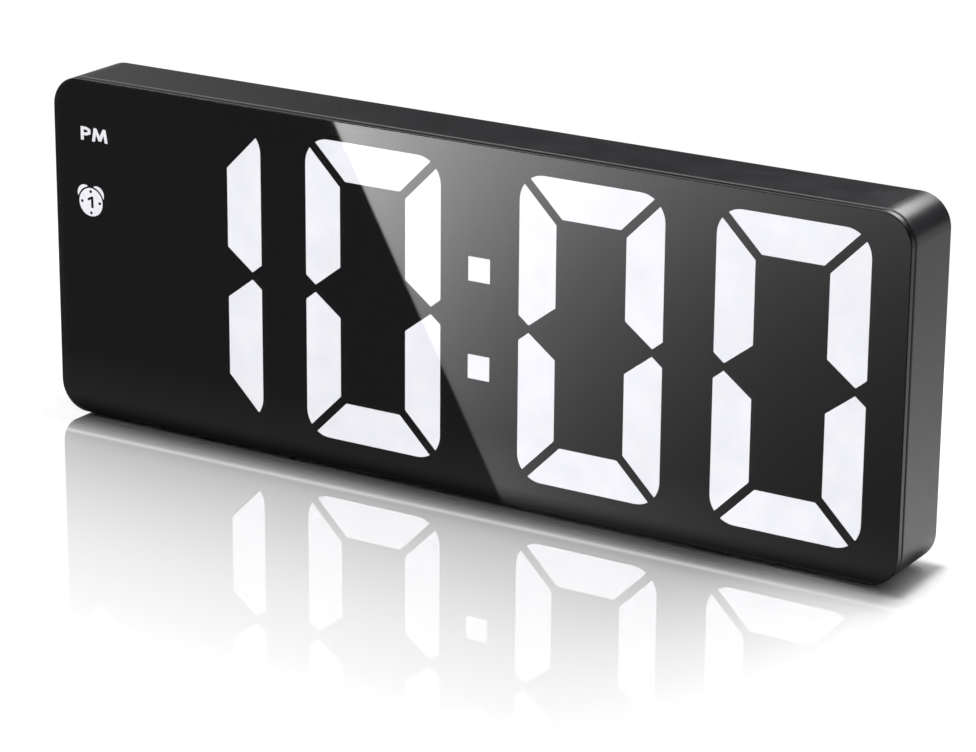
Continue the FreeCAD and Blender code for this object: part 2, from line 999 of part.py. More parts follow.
def make_chips(parts):
    """The clock chip, the display driver and the leads of both."""
    clock_z = face_centre_z - clock_chip_drop
    driver_z = face_centre_z - driver_chip_drop
    parts["clock_chip"] = chip_body(0, clock_z, clock_chip_size)
    parts["driver_chip"] = chip_body(0, driver_z, driver_chip_size)
    leads = chip_lead_row(0, clock_z, clock_chip_size, clock_lead_count)
    leads += chip_lead_row(0, driver_z, driver_chip_size, driver_lead_count)
    parts["chip_leads"] = group(leads)


def make_watch_crystal():
    """Small metal can lying on the board."""
    start = at(
        crystal_offset - crystal_length / 2,
        board_back + crystal_radius + contact_gap,
        face_centre_z - clock_chip_drop,
    )
    return Part.makeCylinder(crystal_radius, crystal_length, start, FreeCAD.Vector(1, 0, 0))


def make_reservoir_capacitor():
    """Round can on a square base that smooths the supply."""
    x = -half_width + capacitor_inset
    z = face_centre_z + capacitor_height
    base_height = capacitor_can_height / 6
    base = block(
        x - capacitor_radius,
        x + capacitor_radius,
        board_back,
        board_back + base_height,
        z - capacitor_radius,
        z + capacitor_radius,
    )
    can = rod(x, z, capacitor_radius, board_back + base_height, board_back + capacitor_can_height)
    return base.fuse(can)


def make_chip_parts():
    """Rows of small resistors."""
    length, width, height = resistor_size
    top = board_back + height
    resistors = []
    for row in resistor_rows:
        z = face_centre_z + row
        for column in range(resistor_columns):
            start = (column - resistor_columns / 2) * resistor_pitch - length / 2
            resistors.append(block(start, start + length, board_back, top, z - width / 2, z + width / 2))
    return group(resistors)


def make_buzzer():
    """Round buzzer with a sound vent that faces the rear cover."""
    back = cover_front - buzzer_headroom
    body = rod(buzzer_x, buzzer_z, buzzer_radius, board_back, back)
    return body.cut(rod(buzzer_x, buzzer_z, buzzer_vent_radius, back - buzzer_vent_depth, back))


def make_socket(parts):
    """Upright power socket: a metal shell round a plastic block and tongue."""
    mouth = body_depth - socket_below_rear
    shell = slot_block(socket_x, socket_z, socket_length, socket_width, board_back, mouth)
    bore_length = socket_length - 2 * socket_wall
    bore_width = socket_width - 2 * socket_wall
    shell = shell.cut(slot_block(socket_x, socket_z, bore_length, bore_width, board_back, mouth))
    parts["socket_shell"] = shell
    fit = 2 * seat_clearance
    base_back = board_back + socket_base
    base = slot_block(socket_x, socket_z, bore_length - fit, bore_width - fit, board_back, base_back)
    tongue = block(
        socket_x - tongue_length / 2,
        socket_x + tongue_length / 2,
        base_back,
        mouth - tongue_below_mouth,
        socket_z - tongue_width / 2,
        socket_z + tongue_width / 2,
    )
    parts["socket_tongue"] = base.fuse(tongue)


# Memory cell

def make_cell_holder():
    """Plastic ring with a ledge under the rim of the cell and a pocket for the side contact."""
    floor = board_back + cell_rise
    top = board_back + holder_height
    bore = cell_radius + cell_clearance
    ring = rod(cell_x, cell_z, bore + holder_wall, board_back, top)
    cutters = [
        rod(cell_x, cell_z, bore, floor, top),
        rod(cell_x, cell_z, cell_radius - holder_ledge, board_back, floor),
        block(
            cell_x + cell_radius,
            cell_x + cell_radius + contact_gap + contact_thickness + seat_clearance,
            floor,
            top,
            cell_z - side_contact_width / 2 - seat_clearance,
            cell_z + side_contact_width / 2 + seat_clearance,
        ),
    ]
    return without(ring, cutters)


def make_cell_side_contact():
    """Flat leaf that touches the side of the cell."""
    start = cell_x + cell_radius + contact_gap
    return block(
        start,
        start + contact_thickness,
        board_back + cell_rise,
        board_back + holder_height,
        cell_z - side_contact_width / 2,
        cell_z + side_contact_width / 2,
    )


def make_cell_spring():
    """Bent strip on the board that rises to the underside of the cell."""
    low = board_back
    high = board_back + cell_rise - contact_gap
    start = cell_x - spring_base - spring_top
    bend = start + spring_base
    knee = bend + spring_rise_length
    stop = knee + spring_top
    profile = [
        (start, low),
        (bend, low),
        (knee, high - contact_thickness),
        (stop, high - contact_thickness),
        (stop, high),
        (knee, high),
        (bend, low + contact_thickness),
        (start, low + contact_thickness),
    ]
    corners = [at(x, depth, cell_z - spring_width / 2) for x, depth in profile]
    face = Part.Face(Part.makePolygon(corners + corners[:1]))
    return face.extrude(FreeCAD.Vector(0, 0, spring_width))


def make_coin_cell():
    """Coin cell: the can, and the narrower cap that faces the board."""
    front = board_back + cell_rise
    can = rod(cell_x, cell_z, cell_radius, front + cell_can_step, front + cell_thickness)
    cap = rod(cell_x, cell_z, cell_radius - holder_ledge / 2, front, front + cell_can_step)
    return can.fuse(cap)


def make_cell_door():
    """Round door with a coin slot, a skirt and two lugs under the cover."""
    back = body_depth - door_below_rear
    front = cover_front + seat_clearance
    lug_back = cover_front - seat_clearance
    lug_front = lug_back - lug_thickness
    disc = rod(cell_x, cell_z, door_radius, front, back)
    skirt = rod(cell_x, cell_z, door_radius, lug_front, front)
    skirt = skirt.cut(rod(cell_x, cell_z, door_radius - door_skirt, lug_front, front))
    door = disc.fuse(skirt)
    for side in (0, 180):
        lug = sector(cell_x, cell_z, door_radius + lug_reach, side, lug_span, lug_front, lug_back)
        lug = lug.cut(rod(cell_x, cell_z, door_radius - door_skirt / 2, lug_front, lug_back))
        door = door.fuse(lug)
    slot = slot_block(cell_x, cell_z, coin_slot_length, coin_slot_width, back - coin_slot_depth, back)
    return door.cut(slot).removeSplitter()


# Controls

def make_buttons(parts):
    """Caps, plungers and switch bodies of the four rear buttons."""
    flange_back = cover_front - seat_clearance
    flange_start = flange_back - cap_flange_thickness
    plunger_back = flange_start - cap_stub_length
    switch_back = board_back + key_switch_height
    plunger_front = switch_back - plunger_seat
    cap_back = body_depth - cap_below_rear
    bore_start = plunger_front - press_travel - plunger_clearance
    half_side = key_switch_side / 2
    plunger_bore = plunger_radius + plunger_clearance
    bodies = []
    for index, name in enumerate(button_names):
        x = button_x(index)
        top = rod(x, control_z, cap_radius, flange_back, cap_back)
        top = top.makeFillet(cap_crown_radius, edges_at_depth(top, cap_back))
        cap = top.fuse(rod(x, control_z, cap_radius + cap_flange, flange_start, flange_back))
        cap = cap.fuse(rod(x, control_z, cap_stub_radius, plunger_back, flange_start))
        parts[name + "_cap"] = cap
        parts[name + "_plunger"] = rod(x, control_z, plunger_radius, plunger_front, plunger_back)
        body = block(
            x - half_side,
            x + half_side,
            board_back,
            switch_back,
            control_z - half_side,
            control_z + half_side,
        )
        bodies.append(body.cut(rod(x, control_z, plunger_bore, bore_start, switch_back)))
    parts["key_switches"] = group(bodies)


def make_mode_switch(parts):
    """Slide switch body on the board and the slider that stands through the cover."""
    body_back = board_back + mode_body_height
    centre_x = mode_x + mode_travel / 2
    half_body = mode_body_width / 2
    body = block(
        centre_x - mode_body_length / 2,
        centre_x + mode_body_length / 2,
        board_back,
        body_back,
        control_z - half_body,
        control_z + half_body,
    )
    channel_half = (mode_tongue_length + mode_travel) / 2 + mode_clearance
    tongue_half = mode_tongue_width / 2
    channel = block(
        centre_x - channel_half,
        centre_x + channel_half,
        body_back - mode_tongue_depth - mode_clearance,
        body_back,
        control_z - tongue_half - mode_clearance,
        control_z + tongue_half + mode_clearance,
    )
    parts["mode_switch_body"] = body.cut(channel)
    tongue = block(
        mode_x - mode_tongue_length / 2,
        mode_x + mode_tongue_length / 2,
        body_back - mode_tongue_depth,
        body_back,
        control_z - tongue_half,
        control_z + tongue_half,
    )
    stem = block(
        mode_x - mode_stem_length / 2,
        mode_x + mode_stem_length / 2,
        body_back,
        cover_front,
        control_z - tongue_half,
        control_z + tongue_half,
    )
    knob_half = mode_knob_width / 2
    knob = block(
        mode_x - mode_knob_length / 2,
        mode_x + mode_knob_length / 2,
        cover_front,
        body_depth - mode_knob_below_rear,
        control_z - knob_half,
        control_z + knob_half,
    )
    parts["mode_slider"] = tongue.fuse(stem).fuse(knob)


def make_all():
    """Every part of the clock, by name."""
    parts = {}
    parts["front_panel"] = make_front_panel()
    parts["panel_tape"] = make_panel_tape()
    parts["housing"] = make_housing()
    parts["rear_cover"] = make_rear_cover()
    parts["cover_screws"] = make_cover_screws()
    parts["board_screws"] = make_board_screws()
    parts["feet"] = make_feet()
    make_digit_windows(parts)
    make_signs(parts)
    parts["mask_film"] = make_mask_film()
    parts["light_box"] = make_light_box()
    parts["segment_leds"] = make_segment_leds()
    parts["main_board"] = make_main_board()
    make_chips(parts)
    parts["watch_crystal"] = make_watch_crystal()
    parts["reservoir_capacitor"] = make_reservoir_capacitor()
    parts["chip_parts"] = make_chip_parts()
    parts["buzzer"] = make_buzzer()
    make_socket(parts)
    parts["cell_holder"] = make_cell_holder()
    parts["cell_side_contact"] = make_cell_side_contact()
    parts["cell_spring"] = make_cell_spring()
    parts["coin_cell"] = make_coin_cell()
    parts["cell_door"] = make_cell_door()
    make_buttons(parts)
    make_mode_switch(parts)
    return parts


os.makedirs("parts", exist_ok=True)
for part_name, part_shape in make_all().items():
    part_shape.exportStep("parts/" + part_name + ".step")
    volume = round(part_shape.Volume, 2)
    print(part_name, len(part_shape.Solids), "solids", volume, "mm3", part_shape.isValid())
print("face", round(face_width, 2), "by", round(face_height, 2), "depth", round(body_depth, 2))
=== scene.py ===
# %% [markdown]
# A desk clock with a smoked face and large lit digits
#
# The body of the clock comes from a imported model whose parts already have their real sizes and
# places. This lesson gives every part its finish, adds the small marks and grips that a maker
# prints or moulds last, and sets up a plain studio: a pale floor, soft light and one camera.
# All lengths are in metres, X runs to the reader's right, Y to the back and Z up.

# %% Load the clock
import math

import bmesh
import bpy
import numpy as np
from mathutils import Matrix, Vector


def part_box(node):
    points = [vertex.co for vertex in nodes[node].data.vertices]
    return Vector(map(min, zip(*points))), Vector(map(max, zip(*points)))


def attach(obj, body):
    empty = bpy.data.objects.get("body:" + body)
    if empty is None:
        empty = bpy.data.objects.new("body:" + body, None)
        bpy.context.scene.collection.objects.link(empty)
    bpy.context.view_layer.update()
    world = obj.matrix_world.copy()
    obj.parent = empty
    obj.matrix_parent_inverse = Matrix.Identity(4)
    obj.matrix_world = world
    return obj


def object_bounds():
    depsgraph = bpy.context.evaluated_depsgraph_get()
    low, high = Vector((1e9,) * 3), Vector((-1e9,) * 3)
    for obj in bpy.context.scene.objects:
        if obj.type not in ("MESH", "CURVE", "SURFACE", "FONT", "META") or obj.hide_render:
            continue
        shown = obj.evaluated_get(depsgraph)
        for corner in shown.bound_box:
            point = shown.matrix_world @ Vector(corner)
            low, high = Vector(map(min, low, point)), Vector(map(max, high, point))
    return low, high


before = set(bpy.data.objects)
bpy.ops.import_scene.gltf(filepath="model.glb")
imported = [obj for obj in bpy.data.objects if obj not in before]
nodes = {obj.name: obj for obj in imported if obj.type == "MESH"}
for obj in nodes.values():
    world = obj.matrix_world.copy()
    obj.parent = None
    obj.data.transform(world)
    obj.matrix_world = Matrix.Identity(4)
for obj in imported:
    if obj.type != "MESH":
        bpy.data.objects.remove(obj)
cad_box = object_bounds()
millimetre = 0.001
micrometre = 0.001 * millimetre
case_half_width, case_half_depth, case_top = cad_box[1]
print("clock height:", round(case_top / millimetre, 2), "mm")

# %% [markdown]
# The camera
#
# A product picture of a wide, low object is taken from some distance with a long lens, so that the
# digits at both ends keep nearly the same size. The camera stands to the right of the clock and a
# little above it. Turning a camera is easiest to read as three turns in a row: tilt it up from
# looking at the floor, swing it round, and correct its level.

# %% Place the camera
camera_place = (0.30128, -0.48208, 0.20682)
camera_tilt = math.radians(71.722)
camera_swing = math.radians(31.778)
camera_level = math.radians(0.436)
sensor_width = 36.0
focal_length = 133.2
nearest_seen = 0.01

camera_data = bpy.data.cameras.new("studio_camera")
camera_data.sensor_width = sensor_width
camera_data.lens = focal_length
camera_data.clip_start = nearest_seen
camera = bpy.data.objects.new("studio_camera", camera_data)
swing = Matrix.Rotation(camera_swing, 4, "Z")
tilt = Matrix.Rotation(camera_tilt, 4, "X")
level = Matrix.Rotation(camera_level, 4, "Z")
camera.matrix_world = Matrix.Translation(camera_place) @ swing @ tilt @ level
bpy.context.scene.collection.objects.link(camera)
bpy.context.scene.camera = camera
bpy.context.scene.view_settings.view_transform = "Standard"
print("camera distance from the clock:", round(Vector(camera_place).length, 3), "m")

# %% [markdown]
# Helpers for node trees
#
# A finish is a small graph of nodes. A few helpers keep the graphs readable: some make a node and
# fill its sockets, others move, mix or scatter a value, and the last two make and place a node
# group, which is a graph that several finishes share.

# %% Helpers that build nodes
def add_node(tree, kind, **sockets):
    """A new node in a tree. Sockets are values or links, by the names of the node's inputs."""
    node = tree.nodes.new(kind)
    for name, value in sockets.items():
        fill(tree, node.inputs[name.replace("_", " ")], value)
    return node


def fill(tree, socket, value):
    """Puts a plain value on a socket, or links an output to it."""
    if isinstance(value, bpy.types.NodeSocket):
        tree.links.new(value, socket)
    else:
        socket.default_value = value


def add_math(tree, operation, first, second=0.0, third=0.0):
    """One sum in a node tree, as its output."""
    node = tree.nodes.new("ShaderNodeMath")
    node.operation = operation
    for index, value in enumerate((first, second, third)):
        fill(tree, node.inputs[index], value)
    return node.outputs[0]


def add_product(tree, first, *others):
    """All the given values multiplied."""
    for factor in others:
        first = add_math(tree, "MULTIPLY", first, factor)
    return first


print("node helpers ready")

# %% Helpers that shape a value
def add_range(tree, value, low, high, out_low=0.0, out_high=1.0, smooth=False):
    """A value moved from one range to another and kept inside it."""
    node = tree.nodes.new("ShaderNodeMapRange")
    node.interpolation_type = "SMOOTHSTEP" if smooth else "LINEAR"
    for name, part in (("Value", value), ("From Min", low), ("From Max", high)):
        fill(tree, node.inputs[name], part)
    fill(tree, node.inputs["To Min"], out_low)
    fill(tree, node.inputs["To Max"], out_high)
    return node.outputs["Result"]


def add_noise(tree, place, per_metre, detail=2.0):
    """Soft random patches, that many to the metre, as a value that wanders around one half."""
    noise = add_node(tree, "ShaderNodeTexNoise", Vector=place, Scale=per_metre, Detail=detail)
    return noise.outputs["Fac"]


def add_colour_blend(tree, share, first, second):
    """Two colours mixed: the share is how much of the second one shows."""
    node = tree.nodes.new("ShaderNodeMix")
    node.data_type = "RGBA"
    for index, value in ((0, share), (6, first), (7, second)):
        fill(tree, node.inputs[index], value)
    return node.outputs[2]


def add_value_blend(tree, share, first, second):
    """Two plain values mixed in the same way."""
    node = tree.nodes.new("ShaderNodeMix")
    node.data_type = "FLOAT"
    for index, value in ((0, share), (2, first), (3, second)):
        fill(tree, node.inputs[index], value)
    return node.outputs[0]


print("value helpers ready")

# %% Helpers for node groups
def new_group(name, inputs, outputs):
    """An empty node group with named sockets. Returns the tree, its inputs and its output node."""
    tree = bpy.data.node_groups.new(name, "ShaderNodeTree")
    for label, kind, value in inputs:
        socket = tree.interface.new_socket(label, in_out="INPUT", socket_type="NodeSocket" + kind)
        if value is not None:
            socket.default_value = value
    for label, kind in outputs:
        tree.interface.new_socket(label, in_out="OUTPUT", socket_type="NodeSocket" + kind)
    start = tree.nodes.new("NodeGroupInput")
    end = tree.nodes.new("NodeGroupOutput")
    return tree, start.outputs, end


def use_group(tree, group, **sockets):
    """A group placed in a tree, with its own values."""
    node = tree.nodes.new("ShaderNodeGroup")
    node.node_tree = group
    for name, value in sockets.items():
        fill(tree, node.inputs[name.replace("_", " ")], value)
    return node.outputs


print("group helpers ready")

# %% [markdown]
# Shared surface effects
#
# Moulded plastic is never perfectly even. The mould is eroded to a fine matt grain, and hands and
# dust leave wide, faint patches that shine a little more or less. Metal that was rolled or drawn
# carries fine lines. Each effect is worked out once as a group, and the finishes then use it with
# their own values.

# %% Moulded grain
def make_moulded_grain():
    """Fine pits from an eroded mould: noise at the grain's own size, raised to a power so that its
    low parts widen, plus half as high lumps that are about three times as wide."""
    pit_power = 1.6
    lump_frequency = 0.31
    lump_height = 0.5
    tree, given, end = new_group(
        "moulded_grain",
        [("Position", "Vector", None), ("Grain per metre", "Float", 6000.0)],
        [("Height", "Float"), ("Fine", "Float")],
    )
    place, grain = given["Position"], given["Grain per metre"]
    pits = add_noise(tree, place, grain)
    lumps = add_noise(tree, place, add_math(tree, "MULTIPLY", grain, lump_frequency))
    deep = add_math(tree, "POWER", pits, pit_power)
    fill(tree, end.inputs["Height"], add_math(tree, "MULTIPLY_ADD", lumps, lump_height, deep))
    fill(tree, end.inputs["Fine"], pits)
    return tree


moulded_grain = make_moulded_grain()
print("group:", moulded_grain.name)

# %% Handling marks
def make_handling_marks():
    """Wide faint patches left by hands: a wide and a narrow noise, multiplied and stretched."""
    narrow_frequency = 5.0
    cleanest, dullest = 0.08, 0.46
    tree, given, end = new_group(
        "handling_marks",
        [("Position", "Vector", None), ("Patches per metre", "Float", 45.0)],
        [("Mask", "Float")],
    )
    place, patches = given["Position"], given["Patches per metre"]
    wide = add_noise(tree, place, patches, detail=3.0)
    narrow = add_noise(tree, place, add_math(tree, "MULTIPLY", patches, narrow_frequency))
    product = add_math(tree, "MULTIPLY", wide, narrow)
    fill(tree, end.inputs["Mask"], add_range(tree, product, cleanest, dullest, smooth=True))
    return tree


handling_marks = make_handling_marks()
print("group:", handling_marks.name)

# %% Drawn metal
def make_drawn_metal():
    """Fine lines along X, as rolling or drawing leaves them: noise stretched along one axis."""
    squeeze = (0.04, 1.0, 1.0)
    faintest, strongest = 0.35, 0.65
    tree, given, end = new_group(
        "drawn_metal",
        [("Position", "Vector", None), ("Lines per metre", "Float", 9000.0)],
        [("Height", "Float"), ("Mask", "Float")],
    )
    stretched = add_node(tree, "ShaderNodeMapping", Vector=given["Position"], Scale=squeeze)
    lines = add_noise(tree, stretched.outputs["Vector"], given["Lines per metre"], detail=3.0)
    fill(tree, end.inputs["Height"], lines)
    fill(tree, end.inputs["Mask"], add_range(tree, lines, faintest, strongest))
    return tree


drawn_metal = make_drawn_metal()
print("group:", drawn_metal.name)

# %% [markdown]
# Finishes
#
# Every finish starts the same way: a new material, its coordinates and its shader. A bump is given
# in real height, so a grain of a few thousandths of a millimetre stays a grain from close by.

# %% Start and close a finish
def start_finish(name):
    """A new material. Returns it, its node tree, its shader and the part's own coordinates."""
    material = bpy.data.materials.new(name)
    material.use_nodes = True
    tree = material.node_tree
    shader = tree.nodes["Principled BSDF"]
    place = tree.nodes.new("ShaderNodeTexCoord").outputs["Object"]
    return material, tree, shader, place


def add_bump(tree, shader, height, relief):
    """A real relief: the height map, from 0 to 1, times a height in metres."""
    bump = add_node(tree, "ShaderNodeBump", Height=height, Distance=relief, Strength=1.0)
    fill(tree, shader.inputs["Normal"], bump.outputs["Normal"])


print("finishes share", len(bpy.data.node_groups), "groups")

# %% Moulded plastic
def moulded_plastic(name, deep, worn, roughness, spread, relief, grain=6000.0, shine=0.5):
    """Plastic with a moulded grain. Its tone wanders from the deep to the worn colour, by two
    fifths with the grain and three fifths with the handling marks; its roughness wanders by the
    spread on either side."""
    marks_share = 0.6
    material, tree, shader, place = start_finish(name)
    pits = use_group(tree, moulded_grain, Position=place, Grain_per_metre=grain)
    marks = use_group(tree, handling_marks, Position=place)["Mask"]
    tone = add_value_blend(tree, marks_share, pits["Fine"], marks)
    fill(tree, shader.inputs["Base Color"], add_colour_blend(tree, tone, deep, worn))
    rough = add_range(tree, marks, 0.0, 1.0, roughness - spread, roughness + spread)
    fill(tree, shader.inputs["Roughness"], rough)
    shader.inputs["Specular IOR Level"].default_value = shine
    add_bump(tree, shader, pits["Height"], relief)
    return material


case_plastic = moulded_plastic(
    "satin_case_plastic",
    deep=(0.0165, 0.0165, 0.0185, 1),
    worn=(0.0205, 0.0205, 0.0232, 1),
    roughness=0.30,
    spread=0.03,
    relief=1.5 * micrometre,
)
print("case:", case_plastic.name)

# %% Other plastics, ink and rubber
cap_plastic = moulded_plastic(
    "button_plastic",
    deep=(0.028, 0.028, 0.030, 1),
    worn=(0.040, 0.040, 0.042, 1),
    roughness=0.42,
    spread=0.05,
    relief=5 * micrometre,
)
chip_plastic = moulded_plastic(
    "chip_plastic",
    deep=(0.012, 0.012, 0.012, 1),
    worn=(0.022, 0.022, 0.022, 1),
    roughness=0.55,
    spread=0.06,
    relief=6 * micrometre,
    grain=9000.0,
)
box_plastic = moulded_plastic(
    "white_box_plastic",
    deep=(0.66, 0.66, 0.64, 1),
    worn=(0.74, 0.74, 0.72, 1),
    roughness=0.48,
    spread=0.05,
    relief=5 * micrometre,
)
print_ink = moulded_plastic(
    "print_ink",
    deep=(0.50, 0.50, 0.50, 1),
    worn=(0.64, 0.64, 0.64, 1),
    roughness=0.55,
    spread=0.06,
    relief=3 * micrometre,
    grain=9000.0,
)
rubber = moulded_plastic(
    "foot_rubber",
    deep=(0.014, 0.014, 0.014, 1),
    worn=(0.026, 0.026, 0.025, 1),
    roughness=0.80,
    spread=0.08,
    relief=20 * micrometre,
    grain=2600.0,
)
print("moulded:", [finish.name for finish in (cap_plastic, box_plastic, print_ink, rubber)])

# %% [markdown]
# The smoked face
#
# The face is one sheet of smoked acrylic. Light from the digits passes through it, and anything
# dark behind it disappears. Its front is polished. Its cut and rounded edge is matt and lets no
# light through, so the edge only shows a soft shine. The edge is found from the surface's own
# direction: it is wherever the sheet doesn't face the reader or the back.

# %% Smoked acrylic
def make_smoked_acrylic():
    """Tinted clear sheet with a polished front and a matt dark edge. How squarely a spot faces the
    front or the back is the size of the Y part of its direction."""
    polished_low, polished_high = 0.014, 0.022
    edge_roughness = 0.35
    edge_square, front_square = 0.5, 0.95
    dark_square, clear_square = 0.97, 0.999
    acrylic_refraction = 1.49
    material, tree, shader, place = start_finish("smoked_acrylic")
    marks = use_group(tree, handling_marks, Position=place, Patches_per_metre=30.0)["Mask"]
    direction = tree.nodes.new("ShaderNodeNewGeometry").outputs["True Normal"]
    depth_part = add_node(tree, "ShaderNodeSeparateXYZ", Vector=direction).outputs["Y"]
    squareness = add_math(tree, "ABSOLUTE", depth_part)
    polished = add_range(tree, marks, 0.0, 1.0, polished_low, polished_high)
    front_share = add_range(tree, squareness, edge_square, front_square)
    rough = add_value_blend(tree, front_share, edge_roughness, polished)
    fill(tree, shader.inputs["Roughness"], rough)
    tint = add_colour_blend(tree, marks, (0.105, 0.105, 0.107, 1), (0.115, 0.115, 0.117, 1))
    clear = add_range(tree, squareness, dark_square, clear_square)
    fill(tree, shader.inputs["Base Color"], add_colour_blend(tree, clear, (0, 0, 0, 1), tint))
    shader.inputs["Transmission Weight"].default_value = 1.0
    shader.inputs["IOR"].default_value = acrylic_refraction
    return material


smoked_acrylic = make_smoked_acrylic()
print("face finish:", smoked_acrylic.name)

# %% [markdown]
# Lit windows
#
# Behind the face, each lit segment is a milky window with a small lamp behind it. Its plastic
# scatters the light, so the window looks even, with a faint cloudiness from its pigment. Here the
# window glows by itself. The smoked sheet takes away about nine tenths of that light, so the glow
# is far stronger than white. A dark segment is given a near-black colour instead of its milky
# plastic, as painted shade for a window without light: behind the sheet it looks as black as the
# film around it.

# %% Lit windows
def make_lit_window():
    """Milky plastic that glows, faintly cloudy from the pigment in it."""
    clouds_per_metre = 420.0
    thin, dense = 0.3, 0.7
    satin_roughness = 0.45
    material, tree, shader, place = start_finish("lit_window")
    cloud = add_range(tree, add_noise(tree, place, clouds_per_metre), thin, dense)
    glow = add_colour_blend(tree, cloud, (0.945, 0.945, 1.0, 1), (0.975, 0.975, 1.0, 1))
    milk = add_colour_blend(tree, cloud, (0.62, 0.62, 0.64, 1), (0.70, 0.70, 0.71, 1))
    fill(tree, shader.inputs["Emission Color"], glow)
    fill(tree, shader.inputs["Base Color"], milk)
    shader.inputs["Emission Strength"].default_value = glow_strength
    shader.inputs["Roughness"].default_value = satin_roughness
    return material


glow_strength = 8.6
lit_window = make_lit_window()
print("glow strength:", glow_strength)

# %% Dark windows, film and tape
# painted shade: near black in place of the milky window plastic, which lies in darkness
unlit_window = moulded_plastic(
    "unlit_window",
    deep=(0.0035, 0.0035, 0.0038, 1),
    worn=(0.0050, 0.0050, 0.0053, 1),
    roughness=0.60,
    spread=0.05,
    relief=3 * micrometre,
    shine=0.0,
)
black_film = moulded_plastic(
    "black_film",
    deep=(0.0030, 0.0030, 0.0032, 1),
    worn=(0.0044, 0.0044, 0.0046, 1),
    roughness=0.65,
    spread=0.05,
    relief=1 * micrometre,
    grain=12000.0,
    shine=0.0,
)
black_tape = moulded_plastic(
    "black_tape",
    deep=(0.0030, 0.0030, 0.0032, 1),
    worn=(0.0044, 0.0044, 0.0046, 1),
    roughness=0.85,
    spread=0.05,
    relief=5 * micrometre,
    grain=4000.0,
    shine=0.0,
)
print("dark finishes:", [finish.name for finish in (unlit_window, black_film, black_tape)])

# %% [markdown]
# Metals, board and chips
#
# Screws, cell, contacts and leads are bare metal, rolled or drawn, so fine lines run through their
# shine. The board is green lacquer over copper tracks, and its lamps are blocks of pale resin.

# %% Metals
def drawn_finish(name, dark, bright, roughness, spread):
    """Bare metal with fine drawn lines that change its shine, and handling marks in its tone."""
    line_relief = 2 * micrometre
    material, tree, shader, place = start_finish(name)
    drawn = use_group(tree, drawn_metal, Position=place)
    marks = use_group(tree, handling_marks, Position=place, Patches_per_metre=160.0)["Mask"]
    fill(tree, shader.inputs["Base Color"], add_colour_blend(tree, marks, dark, bright))
    rough = add_range(tree, drawn["Mask"], 0.0, 1.0, roughness - spread, roughness + spread)
    fill(tree, shader.inputs["Roughness"], rough)
    shader.inputs["Metallic"].default_value = 1.0
    add_bump(tree, shader, drawn["Height"], line_relief)
    return material


tinned_metal = drawn_finish(
    "tinned_metal",
    dark=(0.52, 0.52, 0.50, 1),
    bright=(0.66, 0.66, 0.64, 1),
    roughness=0.32,
    spread=0.08,
)
screw_steel = drawn_finish(
    "screw_steel",
    dark=(0.16, 0.16, 0.17, 1),
    bright=(0.24, 0.24, 0.25, 1),
    roughness=0.38,
    spread=0.10,
)
cell_steel = drawn_finish(
    "cell_steel",
    dark=(0.58, 0.58, 0.57, 1),
    bright=(0.70, 0.70, 0.69, 1),
    roughness=0.24,
    spread=0.06,
)
print("metals:", [finish.name for finish in (tinned_metal, screw_steel, cell_steel)])

# %% Circuit board
def make_circuit_board():
    """Green lacquer over copper tracks: a brick pattern stands for the tracks' straight runs."""
    bricks_per_metre = 260.0
    joint_width = 0.035
    track_relief = 10 * micrometre
    upright = (math.radians(90), 0.0, 0.0)
    material, tree, shader, place = start_finish("circuit_board")
    turned = add_node(tree, "ShaderNodeMapping", Vector=place, Rotation=upright).outputs["Vector"]
    tracks = add_node(tree, "ShaderNodeTexBrick", Vector=turned, Scale=bricks_per_metre)
    tracks.inputs["Mortar Size"].default_value = joint_width
    track_mask = tracks.outputs["Fac"]
    marks = use_group(tree, handling_marks, Position=place, Patches_per_metre=80.0)["Mask"]
    lacquer = add_colour_blend(tree, marks, (0.010, 0.075, 0.032, 1), (0.016, 0.100, 0.044, 1))
    colour = add_colour_blend(tree, track_mask, lacquer, (0.035, 0.16, 0.06, 1))
    fill(tree, shader.inputs["Base Color"], colour)
    fill(tree, shader.inputs["Roughness"], add_range(tree, marks, 0.0, 1.0, 0.26, 0.36))
    add_bump(tree, shader, track_mask, track_relief)
    return material


circuit_board = make_circuit_board()
print("board finish:", circuit_board.name)

# %% Small lamps
def make_led_chip():
    """Pale resin, yellowish in cloudy patches where the phosphor lies thicker."""
    clouds_per_metre = 900.0
    material, tree, shader, place = start_finish("led_chip")
    cloud = add_noise(tree, place, clouds_per_metre)
    resin = add_colour_blend(tree, cloud, (0.72, 0.70, 0.52, 1), (0.80, 0.80, 0.74, 1))
    fill(tree, shader.inputs["Base Color"], resin)
    fill(tree, shader.inputs["Roughness"], add_range(tree, cloud, 0.3, 0.7, 0.30, 0.42))
    return material


led_chip = make_led_chip()
print("lamp finish:", led_chip.name)

# %% [markdown]
# Giving each part its finish
#
# The parts keep their shapes, so a finish only has to be put in each part's material slots.

